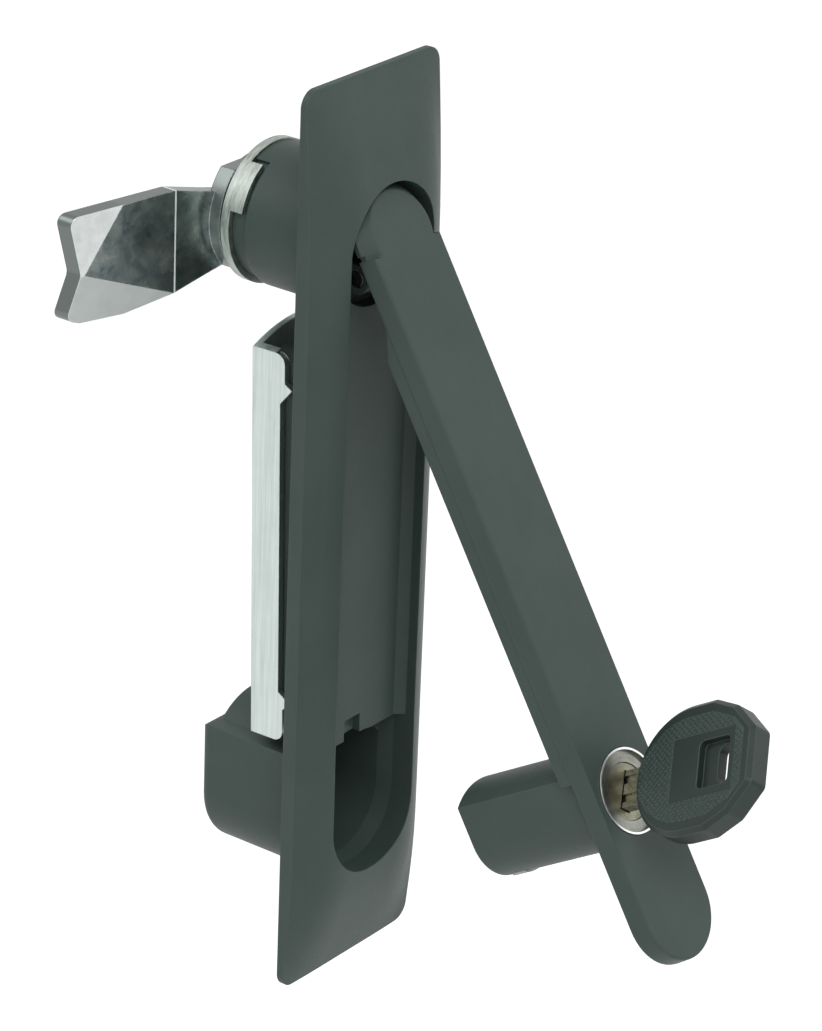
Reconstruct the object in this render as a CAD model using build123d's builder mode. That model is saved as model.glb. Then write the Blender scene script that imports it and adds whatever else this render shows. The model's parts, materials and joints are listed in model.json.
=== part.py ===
"""Recessed swing handle lock for a cabinet door, in millimetres.

Frame: the door's outer face is the plane Y = 0. X points right, Y points back
through the door and Z points up. The origin is the centre of the dish's rear
face. The part stands with its handle swung out to its stop, the key turned
part of the way and the cam pointing left behind the door frame.

Most handle parts are drawn in the handle's own plane, which passes through the
hinge pin: x is the door's X, y runs up the handle and z points out of its face.
"""

from math import atan2, cos, degrees, radians, sin
import os

from build123d import *

os.makedirs("parts", exist_ok=True)

# %% Driving dimensions: the dish
dish_width = 36.0
dish_height = 168.0
dish_corner_radius = 3.0
edge_height = 2.7  # side wall of the bezel along its middle
edge_end_height = 1.0  # side wall of the bezel at its two ends
rim_height = 7.0  # front of the bezel beside the recess, before rounding
rim_end_height = 1.2  # front of the bezel at its two ends
rim_fall_top = 30.0  # length over which the front falls away at the top
rim_fall_bottom = 27.0
edge_fall_top = 36.0  # length over which the side wall falls at the top
edge_fall_bottom = 24.0
recess_radius = 11.3
recess_bottom_z = -53.3  # centre of the recess's lower round end
hip_out = 0.45  # share of the bezel's slope that its rounding takes
hip_in = 0.35  # share of the bezel's level middle that its rounding takes
mouth_front = 2.0  # where the pocket's tapered mouth starts, before the door face
mouth_back = 1.0  # where it ends, behind the door face
floor_height = 2.9  # recess floor in front of the door face
floor_cove = 1.5  # sloped foot between the floor and the recess walls
floor_end_z = -38.9  # where the floor stops above the lock pocket
notch_width = 4.5
notch_height = 4.0
notch_ledge = 1.2
seal_half_width = 15.2
seal_half_height = 76.0
seal_width = 2.0
seal_depth = 1.2
seal_play = 0.05

# %% Driving dimensions: the spindle, its housing and the hinge
spindle_z = 53.8
housing_radius = 12.5
housing_back = 18.8
bore_radius = 8.0
band_radius = 11.7  # housing radius that the stop disc's lip runs round
band_length = 3.2
band_start = 118.0
band_end = 260.0
head_seat = 3.0  # how far the rotor's head is let in behind the door face
rotor_radius = 11.2
rotor_front = 0.6  # rotor face in front of the door face
rotor_gap = 0.1
shaft_gap = 0.05
shaft_back = 18.9
square = 8.0
square_back = 23.9
ring_y = 9.0
ring_wire = 0.8  # radius of the sealing ring's section
ring_groove_radius = 6.35
ring_groove_width = 2.2
pin_y = -4.5
pin_z = 49.5
pin_radius = 1.5
cheek_inner = 4.3
cheek_outer = 7.5
cheek_radius = 2.6
open_angle = 30.9

# %% Driving dimensions: the stop disc, the cam and their screw
disc_radius = 12.8
disc_back = 20.6
disc_hub_radius = 9.0
tab_start = 123.0
tab_end = 165.0
tab_front = 16.4
tab_inner_radius = 12.0
cam_front = 21.2
cam_thickness = 3.0
cam_hub_radius = 9.5
cam_path = ((0.0, 0.45), (-20.0, 3.25), (-48.0, 8.8))
cam_pad_radius = 12.4  # round pad that lifts the strip off the stop disc
cam_pad_top = 9.0
cam_pad_bottom = -8.5
cam_fold_meet = (-38.8, -3.35)
cam_fold_upper = (-31.0, 7.45)
cam_fold_lower = (-20.1, -10.8)
cam_upper_tip = (-40.7, 6.7)
cam_lower_tip = (-41.2, -11.3)
cam_outline = (
    (-9.0, 4.9),
    (-11.2, 5.4),
    (-20.0, 7.6),
    (-31.0, 7.5),
    cam_upper_tip,
    (-39.5, -2.9),
    cam_lower_tip,
    (-38.4, -12.3),
    (-29.7, -12.5),
    (-20.0, -10.8),
    (-10.0, -8.5),
    (-9.0, -8.3),
)
cam_tip_radius = 1.8
cam_fold_drop = 1.5  # how far the folded tips lie behind the flat
square_play = 0.06
washer_radius = 7.0
washer_thickness = 1.2
cam_screw_radius = 3.0
cam_screw_across = 10.0
cam_screw_head = 4.0
cam_screw_length = 15.0
thread_play = 0.03

# %% Driving dimensions: the handle
handle_face = 7.1  # front face in front of the pin axis
handle_half_width = 8.9
handle_base_half_width = 9.2
face_round = 0.5  # rounding of the front face's edges
plate_depth = 3.0  # drafted front plate
lip_depth = 0.5  # straight edge behind the drafted plate
body_rear = 0.9  # rear of the inner body in front of the pin axis
body_half_width = 9.0
body_start = 9.0  # where the inner body starts to slope down from the plate
body_full = 15.0  # where it reaches its full depth
body_end = 92.0
handle_wall = 2.4
channel_half_width = 6.8
channel_start = 12.0
channel_end = 86.0
handle_end = 127.9  # pin axis to the tip
shoulder = 2.4  # side walls start this far above the pin
head_radius = 9.6
head_centre = 4.6
head_slope = 45.0  # slope of the head's domed edge, in degrees
head_slope_depth = 2.2
head_skirt = 0.9  # straight edge behind the head's slope
head_foot = 3.2  # the domed head ends this far above the pin at its sides
head_plate = 1.5
head_edge = 2.7  # thickness of the head's upper edge
cavity_half_width = 7.8
cavity_top = 6.5
cavity_end = 11.0
knuckle_left = -4.0
knuckle_right = 1.0
knuckle_radius = 3.2
pin_play = 0.05
spring_wire = 0.35
spring_radius = 2.2
spring_pitch = 0.8
spring_start = 1.75
spring_turns = 2
spring_leg = 5.4
spring_pad = 2.0

# %% Driving dimensions: the boss, the lock cylinder and the latch
lock_distance = 97.2  # pin axis to lock axis
boss_half_width = 7.75
boss_crown = 88.55
boss_corner = 91.1
boss_round = 98.4  # centre of the round lower side
boss_end = 24.2  # boss end behind the pin axis
rim_radius = 7.5
rim_thickness = 1.3
rim_proud = 0.3
rim_lip = 0.45  # width of the bright ring round the lock's recessed face
rim_recess = 0.7
barrel_radius = 6.6
barrel_play = 0.1
barrel_end = 14.8
plug_radius = 5.0
plug_play = 0.05
plug_recess = 0.6
keyway_half_length = 3.55
keyway_half_width = 1.15
keyway_end = 12.8
wafer_count = 5
wafer_first = 3.6
wafer_pitch = 2.6
wafer_thickness = 0.8
wafer_half_height = 4.5
wafer_half_width = 1.95
wafer_play = 0.06
neck_radius = 2.2
neck_length = 0.8
collar_radius = 2.8
ring_clip_radius = 5.9
ring_clip_thickness = 0.6
ring_clip_gap = 0.1
tail_square = 4.0
tail_end = 17.3
throw = 3.8  # the lock cam's pin from the lock axis
lock_middle = 3.7  # the lock cam's turn from the middle of its range
throw_pin_radius = 1.1
lock_cam_front = 15.95
lock_cam_back = 19.1
lock_cam_radius = 5.1
lock_screw_radius = 1.25
lock_screw_head_radius = 2.2
lock_screw_head = 0.9
lock_screw_length = 4.5
chamber_half_width = 6.6
chamber_top = 91.2
chamber_front = 14.8
cover_thickness = 1.3
cover_ledge = 0.45
cover_play = 0.05
bolt_front = 19.4
bolt_back = 22.6
bolt_half_width = 5.0
bolt_top = 94.4
bolt_shoulder = 100.0
bolt_slot_play = 0.2
bolt_tip_half_width = 2.9
bolt_tip_radius = 8.05
window_play = 0.15

# %% Driving dimensions: the key
key_turn = 41.3
blade_half_width = 3.4
blade_half_thickness = 1.0
blade_tip = 12.4
blade_tang = 10.0  # how far the blade reaches into the bow
blade_groove = 1.7  # from the blade's middle to each long groove
blade_groove_width = 1.4
blade_groove_depth = 0.4
key_cuts = (0.4, 1.0, 0.6, 1.1, 0.3)
bow_start = 3.2  # bow in front of the handle face
bow_length = 26.2
bow_half_width = 11.8
bow_shoulder = 16.8  # straight sides above the round lower half end here
bow_upper = (9.7, 21.8)
bow_top_half_width = 4.9
bow_corner_radius = 1.5
bow_half_thickness = 2.5
bow_bevel = 0.8
ring_recess_start = 14.5
ring_recess_length = 6.8
ring_recess_half_width = 4.3
ring_recess_depth = 1.5
ring_slot_centre = 19.2
ring_slot_length = 7.0
ring_slot_width = 3.0

# %% Driving dimensions: the fixing clip, the ribs and the pocket
clip_half_width = 12.5
clip_sheet = 1.3
clip_back = 12.5
clip_tilt = 1.3  # the clip leans back at its top by this angle, in degrees
clip_bend = 1.2
clip_corner = 1.9
clip_top_z = 34.4
clip_bottom_z = -38.3
clip_crest_z = 37.2
clip_arch_gap = 0.6
clip_edge_y = 5.45
clip_middle_y = 6.45
clip_middle_top_z = 25.4
clip_middle_bottom_z = -28.9
clip_tooth_y = 3.95
clip_tooth_top_z = 28.3
clip_tooth_bottom_z = -30.6
clip_tooth_top = 0.9  # length of the upper tooth above its point
clip_tooth_foot = 1.5  # length of the lower tooth below its point
clip_screw_z = (24.0, -22.0)
clip_hole_radius = 2.25
clip_screw_radius = 1.95
clip_screw_head_radius = 3.9
clip_screw_head = 2.4
clip_screw_length = 11.0
screw_boss_radius = 4.4
rib_half_width = 11.0
rib_top_z = 32.6
rib_bottom_z = -36.0
rib_wall = 2.0
pocket_half_width = 12.3
pocket_wall = 1.7
pocket_top_z = -40.8
pocket_round_z = -54.7
pocket_back = 23.2
pocket_edge_radius = 1.8
receptor_z = -49.6
receptor_back = 21.3
pocket_bottom = 20.1
keeper_front = 12.7
keeper_back = 14.2
keeper_top_z = -58.35
crown_gap = 0.5

# %% Planes and places worked out from the sizes
half_width = dish_width / 2
half_height = dish_height / 2
lift = radians(open_angle)
door = Plane(origin=(0, 0, 0), x_dir=(1, 0, 0), z_dir=(0, -1, 0))
axle = Plane(origin=(0, 0, spindle_z), x_dir=(1, 0, 0), z_dir=(0, -1, 0))
flank = Plane(origin=(0, 0, 0), x_dir=(0, 1, 0), z_dir=(1, 0, 0))
tilt = radians(clip_tilt)
clip_door = Plane(origin=(0, 0, 0), x_dir=(1, 0, 0), z_dir=(0, -cos(tilt), sin(tilt)))
clip_flank = Plane(origin=(0, 0, 0), x_dir=(0, cos(tilt), -sin(tilt)), z_dir=(1, 0, 0))
clip_level = Plane(origin=(0, 0, 0), x_dir=(1, 0, 0), z_dir=(0, sin(tilt), cos(tilt)))
grip = Plane(origin=(0, pin_y, pin_z), x_dir=(1, 0, 0), z_dir=(0, -cos(lift), sin(lift)))
grip_flank = Plane(
    origin=(0, pin_y, pin_z), x_dir=(0, -sin(lift), -cos(lift)), z_dir=(1, 0, 0)
)
lock = Plane(
    origin=(0, pin_y - lock_distance * sin(lift), pin_z - lock_distance * cos(lift)),
    x_dir=(1, 0, 0),
    z_dir=(0, -cos(lift), sin(lift)),
)
turned = radians(key_turn)
key_up = Vector(sin(turned), cos(turned) * sin(lift), cos(turned) * cos(lift))
key_plane = Plane(origin=lock.origin, x_dir=key_up, z_dir=lock.z_dir)
key_side = Plane(origin=lock.origin, x_dir=key_up, z_dir=key_plane.y_dir * -1)
rim_back = handle_face + rim_proud - rim_thickness
plug_front = handle_face - plug_recess
pocket_inner = pocket_half_width - pocket_wall
mouth_taper = degrees(atan2(recess_radius - pocket_inner, mouth_front + mouth_back))
spring_angle = 180 - open_angle + 360 * spring_turns
spring_rise = spring_pitch * spring_angle / 360
crown_rise = boss_corner - boss_crown
crown_radius = (boss_half_width**2 + crown_rise**2) / (2 * crown_rise)
closed_crown_z = pin_z - boss_crown - crown_radius


def sine_fall(z, middle, end, fall_top, fall_bottom):
    """Height at z that is level in the middle and drops as a quarter sine to each end."""
    fall = fall_top if z > 0 else fall_bottom
    run = min((half_height - abs(z)) / fall, 1.0)
    return end + (middle - end) * sin(radians(90 * run))


def slot_outline(radius, low_z, high_z):
    """Face of an upright round-ended slot between two centres on the sketch's y axis."""
    with BuildSketch(Plane.XY, mode=Mode.PRIVATE) as outline:
        with Locations((0, (low_z + high_z) / 2)):
            Rectangle(2 * radius, high_z - low_z)
        with Locations((0, low_z), (0, high_z)):
            Circle(radius)
    return outline.sketch


def boss_outline(inset):
    """Face of the boss's D section, set in from its outer wall."""
    half = boss_half_width - inset
    with BuildSketch(Plane.XY, mode=Mode.PRIVATE) as outline:
        with BuildLine():
            Line((-half, -boss_corner - inset), (-half, -boss_round))
            ThreePointArc((-half, -boss_round), (0, -boss_round - half), (half, -boss_round))
            Line((half, -boss_round), (half, -boss_corner - inset))
            ThreePointArc(
                (half, -boss_corner - inset),
                (0, -boss_crown - inset),
                (-half, -boss_corner - inset),
            )
        make_face()
    return outline.sketch


def wedge(start, end):
    """Face of a wide wedge between two angles, in degrees, with its point at the origin."""
    angles = (start, (start + end) / 2, end)
    corners = [(60 * cos(radians(a)), 60 * sin(radians(a))) for a in angles]
    with BuildSketch(Plane.XY, mode=Mode.PRIVATE) as outline:
        with BuildLine():
            Polyline((0, 0), *corners, close=True)
        make_face()
    return outline.sketch


def handle_outline():
    """Face of the handle seen from the front: straight sides and a round tip."""
    base = handle_base_half_width
    with BuildSketch(Plane.XY, mode=Mode.PRIVATE) as outline:
        with Locations((0, shoulder)):
            Rectangle(2 * base, shoulder + handle_end - base, align=(Align.CENTER, Align.MAX))
        with Locations((0, base - handle_end)):
            Circle(base)
    return outline.sketch


def mouth_outline():
    """Face of the recess where it runs down into the lock pocket."""
    with BuildSketch(Plane.XY, mode=Mode.PRIVATE) as outline:
        add(slot_outline(recess_radius, recess_bottom_z, floor_end_z + recess_radius))
        with Locations((0, floor_end_z)):
            Rectangle(dish_width, 60, align=(Align.CENTER, Align.MIN), mode=Mode.SUBTRACT)
    return outline.sketch


def behind(first, second, third):
    """Thick block whose front face passes through three points, lying behind it."""
    normal = (Vector(second) - Vector(first)).cross(Vector(third) - Vector(first))
    normal = normal if normal.Y > 0 else normal * -1
    face = Plane(origin=first, x_dir=Vector(second) - Vector(first), z_dir=normal)
    return face * Box(240, 240, 60, align=(Align.CENTER, Align.CENTER, Align.MIN))


def save(part, name):
    """Label a finished part and write it to its own file."""
    part.label = name
    export_step(part, "parts/" + name + ".step")
    print(name, "solids", len(part.solids()), "volume", round(part.volume), part.is_valid)


# %% Dish: bezel, recess, spindle housing, rib frame and lock pocket
levels = (-84, -80, -74, -67, -57, -40, -20, 0, 20, 36, 48, 54, 62, 70, 77, 81, 84)

with BuildPart() as dish:
    for level in levels:
        z = level * half_height / 84
        edge = sine_fall(z, edge_height, edge_end_height, edge_fall_top, edge_fall_bottom)
        rim = sine_fall(z, rim_height, rim_end_height, rim_fall_top, rim_fall_bottom)
        slope_x = recess_radius + hip_out * (half_width - recess_radius)
        slope_y = hip_out * (rim - edge) - rim
        level_x = recess_radius * (1 - hip_in)
        with BuildSketch(Plane.XY.offset(z)):
            with BuildLine():
                Polyline(
                    (-slope_x, slope_y),
                    (-half_width, -edge),
                    (-half_width, 2),
                    (half_width, 2),
                    (half_width, -edge),
                    (slope_x, slope_y),
                )
                Bezier((slope_x, slope_y), (recess_radius, -rim), (level_x, -rim))
                Line((level_x, -rim), (-level_x, -rim))
                Bezier((-level_x, -rim), (-recess_radius, -rim), (-slope_x, slope_y))
            make_face()
    loft()
    with BuildSketch(door):
        Rectangle(2 * dish_width, 2 * dish_height)
    extrude(amount=-10, mode=Mode.SUBTRACT)
    with BuildSketch(door.offset(-5)):
        Rectangle(dish_width + 14, dish_height + 12)
        RectangleRounded(dish_width, dish_height, dish_corner_radius, mode=Mode.SUBTRACT)
    extrude(amount=20, mode=Mode.SUBTRACT)
    # everything that stands behind the door face: ribs up to the leaning clip, then the rest
    with BuildSketch(door):
        with Locations((0, (rib_top_z + rib_bottom_z) / 2)):
            Rectangle(2 * rib_half_width, rib_top_z - rib_bottom_z)
            Rectangle(
                2 * (rib_half_width - rib_wall),
                rib_top_z - rib_bottom_z - 2 * rib_wall,
                mode=Mode.SUBTRACT,
            )
        with Locations(*[(0, z) for z in clip_screw_z]):
            Circle(screw_boss_radius)
            Rectangle(2 * rib_half_width, rib_wall)
        with Locations((0, (clip_screw_z[0] + clip_screw_z[1]) / 2)):
            Rectangle(2 * rib_half_width, rib_wall)
    extrude(amount=-(clip_back + 2))
    with BuildSketch(clip_door.offset(-(clip_back - clip_sheet))):
        Rectangle(2 * dish_width, dish_height)
    extrude(amount=-10, mode=Mode.SUBTRACT)
    with BuildSketch(axle):
        Circle(housing_radius)
    extrude(amount=-(housing_back - band_length))
    with BuildSketch(axle.offset(-(housing_back - band_length))):
        Circle(housing_radius)
        add(wedge(band_start, band_end), mode=Mode.SUBTRACT)
        Circle(band_radius)
    extrude(amount=-band_length)
    with BuildSketch(door):
        with Locations((0, pocket_round_z)):
            Circle(pocket_half_width)
        with Locations((0, (pocket_round_z + pocket_top_z) / 2)):
            Rectangle(2 * pocket_half_width, pocket_top_z - pocket_round_z)
    extrude(amount=-pocket_back)
    fillet(dish.faces().sort_by(Axis.Y)[-1].edges(), pocket_edge_radius)
    with BuildSketch(door):
        with Locations((0, receptor_z)):
            Circle(pocket_half_width)
    extrude(amount=-receptor_back)
    # screw holes, from behind
    with BuildSketch(clip_door.offset(-(clip_back - clip_sheet))):
        with Locations(*[(0, z) for z in clip_screw_z]):
            Circle(clip_screw_radius + thread_play)
    extrude(amount=clip_screw_length - clip_sheet + 0.4, mode=Mode.SUBTRACT)
    # the recess with its sloped foot, and the rotor's seat
    with BuildSketch(door.offset(floor_height + floor_cove)):
        add(slot_outline(recess_radius, recess_bottom_z, spindle_z))
    extrude(amount=rim_height, mode=Mode.SUBTRACT)
    with BuildSketch(door.offset(floor_height + floor_cove)):
        add(slot_outline(recess_radius, recess_bottom_z, spindle_z))
    extrude(amount=-floor_cove, taper=45, mode=Mode.SUBTRACT)
    with BuildSketch(axle.offset(rim_height + 1)):
        Circle(recess_radius)
    extrude(amount=-(rim_height + 1 + head_seat), mode=Mode.SUBTRACT)
    with BuildSketch(axle.offset(1)):
        Circle(bore_radius)
    extrude(amount=-(housing_back + 2), mode=Mode.SUBTRACT)
    # the mouth of the lock pocket, then the pocket behind it
    with BuildSketch(door.offset(rim_height + 1)):
        add(mouth_outline())
    extrude(amount=-(rim_height + 1 - mouth_front), mode=Mode.SUBTRACT)
    with BuildSketch(door.offset(mouth_front)):
        add(mouth_outline())
    extrude(amount=-(mouth_front + mouth_back), taper=mouth_taper, mode=Mode.SUBTRACT)
    with BuildSketch(door.offset(rim_height + 1)):
        with Locations((-notch_width, floor_end_z - 1)):
            Rectangle(notch_width, notch_height + 1, align=(Align.MIN, Align.MIN))
    extrude(amount=-(rim_height + 1 - notch_ledge), mode=Mode.SUBTRACT)
    with BuildSketch(door.offset(rim_height + 1)):
        with Locations((0, closed_crown_z)):
            Circle(crown_radius + crown_gap)
        with Locations((0, closed_crown_z)):
            Rectangle(2 * pocket_inner, 60, mode=Mode.INTERSECT)
        with Locations((0, floor_end_z - notch_height)):
            Rectangle(40, 60, align=(Align.CENTER, Align.MAX), mode=Mode.SUBTRACT)
        with Locations((0, recess_bottom_z)):
            Rectangle(2 * pocket_inner, floor_end_z - recess_bottom_z, align=(Align.CENTER, Align.MIN))
            Circle(pocket_inner)
    extrude(amount=-(rim_height + 2), mode=Mode.SUBTRACT)
    with BuildSketch(door.offset(-1)):
        with Locations((0, closed_crown_z)):
            Circle(crown_radius + crown_gap)
            Rectangle(2 * pocket_inner, 40, align=(Align.CENTER, Align.MIN), mode=Mode.INTERSECT)
        add(slot_outline(pocket_inner, recess_bottom_z, receptor_z))
    extrude(amount=-(pocket_bottom - 1), mode=Mode.SUBTRACT)
    # keeper bar that the latch bolt catches behind
    with BuildSketch(door.offset(-keeper_front)):
        with Locations((0, recess_bottom_z)):
            Circle(pocket_inner + 0.4)
        with Locations((0, keeper_top_z)):
            Rectangle(40, 40, align=(Align.CENTER, Align.MIN), mode=Mode.SUBTRACT)
    extrude(amount=-(keeper_back - keeper_front))
    # seal groove round the rear face
    with BuildSketch(door):
        RectangleRounded(2 * seal_half_width, 2 * seal_half_height, 3)
        RectangleRounded(
            2 * (seal_half_width - seal_width),
            2 * (seal_half_height - seal_width),
            1,
            mode=Mode.SUBTRACT,
        )
    extrude(amount=seal_depth, mode=Mode.SUBTRACT)
save(dish.part, "dish")

# %% Seal in the groove
with BuildPart() as dish_seal:
    with BuildSketch(door):
        RectangleRounded(
            2 * (seal_half_width - seal_play), 2 * (seal_half_height - seal_play), 3 - seal_play
        )
        RectangleRounded(
            2 * (seal_half_width - seal_width + seal_play),
            2 * (seal_half_height - seal_width + seal_play),
            1,
            mode=Mode.SUBTRACT,
        )
    extrude(amount=seal_depth - seal_play)
save(dish_seal.part, "dish_seal")

# %% Clip: a bent sheet over the rib frame, with teeth that bite the door
with BuildPart() as clip:
    with BuildSketch(clip_level.offset(clip_bottom_z)):
        with BuildLine():
            Polyline(
                (-clip_half_width, clip_tooth_y),
                (-clip_half_width, clip_back),
                (clip_half_width, clip_back),
                (clip_half_width, clip_tooth_y),
                (clip_half_width - clip_sheet, clip_tooth_y),
                (clip_half_width - clip_sheet, clip_back - clip_sheet),
                (clip_sheet - clip_half_width, clip_back - clip_sheet),
                (clip_sheet - clip_half_width, clip_tooth_y),
                close=True,
            )
        make_face()
        back_corners = [v for v in vertices() if clip_flank.to_local_coords(v).X > clip_back - 0.1]
        fillet(back_corners, clip_bend)
    extrude(amount=clip_crest_z - clip_bottom_z)
    # front edges of the two side flanges, with a tooth near each end
    lean = clip_corner * (1 - cos(radians(45)))
    with BuildSketch(clip_flank.offset(-clip_half_width - 1)):
        with BuildLine():
            Polyline(
                (0, clip_crest_z + 1),
                (clip_edge_y + clip_corner, clip_crest_z + 1),
                (clip_edge_y + clip_corner, clip_top_z),
            )
            ThreePointArc(
                (clip_edge_y + clip_corner, clip_top_z),
                (clip_edge_y + lean, clip_top_z - lean),
                (clip_edge_y, clip_top_z - clip_corner),
            )
            Polyline(
                (clip_edge_y, clip_top_z - clip_corner),
                (clip_edge_y, clip_tooth_top_z + clip_tooth_top),
                (clip_tooth_y, clip_tooth_top_z),
                (clip_middle_y, clip_middle_top_z),
                (clip_middle_y, clip_middle_bottom_z),
                (clip_tooth_y, clip_tooth_bottom_z),
                (clip_edge_y, clip_tooth_bottom_z - clip_tooth_foot),
                (clip_edge_y, clip_bottom_z + clip_corner),
            )
            ThreePointArc(
                (clip_edge_y, clip_bottom_z + clip_corner),
                (clip_edge_y + lean, clip_bottom_z + lean),
                (clip_edge_y + clip_corner, clip_bottom_z),
            )
            Polyline(
                (clip_edge_y + clip_corner, clip_bottom_z),
                (clip_edge_y + clip_corner, clip_bottom_z - 1),
                (0, clip_bottom_z - 1),
                (0, clip_crest_z + 1),
            )
        make_face()
    extrude(amount=2 * clip_half_width + 2, mode=Mode.SUBTRACT)
    # top of the back, one low arch from flange to flange, and the arch over the pocket
    with BuildSketch(clip_door.offset(1)):
        with BuildLine():
            ThreePointArc(
                (-clip_half_width, clip_top_z), (0, clip_crest_z), (clip_half_width, clip_top_z)
            )
            Polyline(
                (clip_half_width, clip_top_z),
                (clip_half_width + 2, clip_top_z),
                (clip_half_width + 2, clip_crest_z + 2),
                (-clip_half_width - 2, clip_crest_z + 2),
                (-clip_half_width - 2, clip_top_z),
                (-clip_half_width, clip_top_z),
            )
        make_face()
        with Locations((0, receptor_z)):
            Circle(pocket_half_width + clip_arch_gap)
    extrude(amount=-(clip_back + 2), mode=Mode.SUBTRACT)
    with BuildSketch(clip_door):
        with Locations(*[(0, z) for z in clip_screw_z]):
            Circle(clip_hole_radius)
    extrude(amount=-(clip_back + 2), mode=Mode.SUBTRACT)
save(clip.part, "clip")

# %% Clip screws: pan heads on the clip, shanks in the dish's bosses
with BuildPart() as clip_screws:
    with BuildSketch(clip_door.offset(-clip_back)):
        with Locations(*[(0, z) for z in clip_screw_z]):
            Circle(clip_screw_head_radius)
    extrude(amount=-clip_screw_head, taper=12)
    with BuildSketch(clip_door.offset(-clip_back)):
        with Locations(*[(0, z) for z in clip_screw_z]):
            Circle(clip_screw_radius)
    extrude(amount=clip_screw_length)
    with BuildSketch(clip_door.offset(-(clip_back + clip_screw_head))):
        with Locations(*[(0, z) for z in clip_screw_z]):
            Rectangle(4.2, 1.0)
            Rectangle(1.0, 4.2)
    extrude(amount=1.4, mode=Mode.SUBTRACT)
save(clip_screws.part, "clip_screws")

# %% Spindle: rotor head with the hinge cheeks, shaft and square
with BuildPart() as spindle:
    with BuildSketch(axle.offset(rotor_front)):
        Circle(rotor_radius)
    extrude(amount=-(rotor_front + head_seat - rotor_gap))
    with BuildSketch(axle):
        Circle(bore_radius - shaft_gap)
    extrude(amount=-shaft_back)
    with BuildSketch(axle.offset(-shaft_back)):
        RectangleRounded(square, square, 0.6)
    extrude(amount=-(square_back - shaft_back))
    for side in (-1, 1):
        with BuildSketch(flank.offset(side * cheek_inner)):
            with Locations((pin_y, pin_z)):
                Circle(cheek_radius)
                Rectangle(-pin_y, 2 * cheek_radius, align=(Align.MIN, Align.CENTER))
        extrude(amount=side * (cheek_outer - cheek_inner))
    with BuildSketch(flank.offset(spring_start + spring_rise - spring_wire - 0.3)):
        with Locations((pin_y + spring_radius + spring_wire, pin_z - spring_leg + spring_pad / 2)):
            Rectangle(4, spring_pad, align=(Align.MIN, Align.CENTER))
    extrude(amount=2 * spring_wire + 0.6)
    with BuildSketch(flank.offset(-cheek_outer - 1)):
        with Locations((pin_y, pin_z)):
            Circle(pin_radius + pin_play)
    extrude(amount=2 * cheek_outer + 2, mode=Mode.SUBTRACT)
    with BuildSketch(axle.offset(-(ring_y - ring_groove_width / 2))):
        Circle(bore_radius + 1)
        Circle(ring_groove_radius, mode=Mode.SUBTRACT)
    extrude(amount=-ring_groove_width, mode=Mode.SUBTRACT)
    with BuildSketch(axle.offset(-square_back)):
        Circle(cam_screw_radius + thread_play)
    extrude(amount=cam_screw_length, mode=Mode.SUBTRACT)
save(spindle.part, "spindle")

# %% Sealing ring on the spindle
with BuildPart() as spindle_ring:
    with BuildSketch(Plane.XY):
        with Locations((ring_groove_radius + 0.02 + ring_wire, ring_y)):
            Circle(ring_wire)
    revolve(axis=Axis.Y)
    ring_at_axle = spindle_ring.part.moved(Location((0, 0, spindle_z)))
save(ring_at_axle, "spindle_ring")

# %% Hinge pin through the cheeks and the knuckle
with BuildPart() as hinge_pin:
    with BuildSketch(flank.offset(-cheek_outer)):
        with Locations((pin_y, pin_z)):
            Circle(pin_radius)
    extrude(amount=2 * cheek_outer)
    chamfer(hinge_pin.edges().filter_by(GeomType.CIRCLE), 0.2)
save(hinge_pin.part, "hinge_pin")

# %% Torsion spring round the pin, pressing the handle outward
coil_plane = Plane(
    origin=(spring_start, pin_y, pin_z), x_dir=(0, -cos(lift), sin(lift)), z_dir=(1, 0, 0)
)
coil_steps = 30
coil_spots = []
for step in range(coil_steps + 1):
    angle = -radians(spring_angle) * step / coil_steps
    coil_spots.append(
        coil_plane.from_local_coords(
            (
                spring_radius * cos(angle),
                spring_radius * sin(angle),
                spring_rise * step / coil_steps,
            )
        )
    )
handle_way = Vector(0, -sin(lift), -cos(lift))
rotor_way = Vector(0, 0, -1)
leg_steps = (1.0, 0.66, 0.33)
spring_spots = [coil_spots[0] + handle_way * (spring_leg * k) for k in leg_steps]
spring_spots += coil_spots
spring_spots += [coil_spots[-1] + rotor_way * (spring_leg * k) for k in reversed(leg_steps)]
spring_path = Spline(*spring_spots)

with BuildPart() as handle_spring:
    with BuildSketch(Plane(spring_path ^ 0)):
        Circle(spring_wire)
    sweep(path=spring_path, is_frenet=True)
save(handle_spring.part, "handle_spring")

# %% Handle: head, drafted plate, tongue, channelled body, knuckle and lock boss
plate_back = handle_face - plate_depth
lip_back = plate_back - lip_depth
draft = degrees(atan2(handle_base_half_width - handle_half_width, plate_depth))

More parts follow.
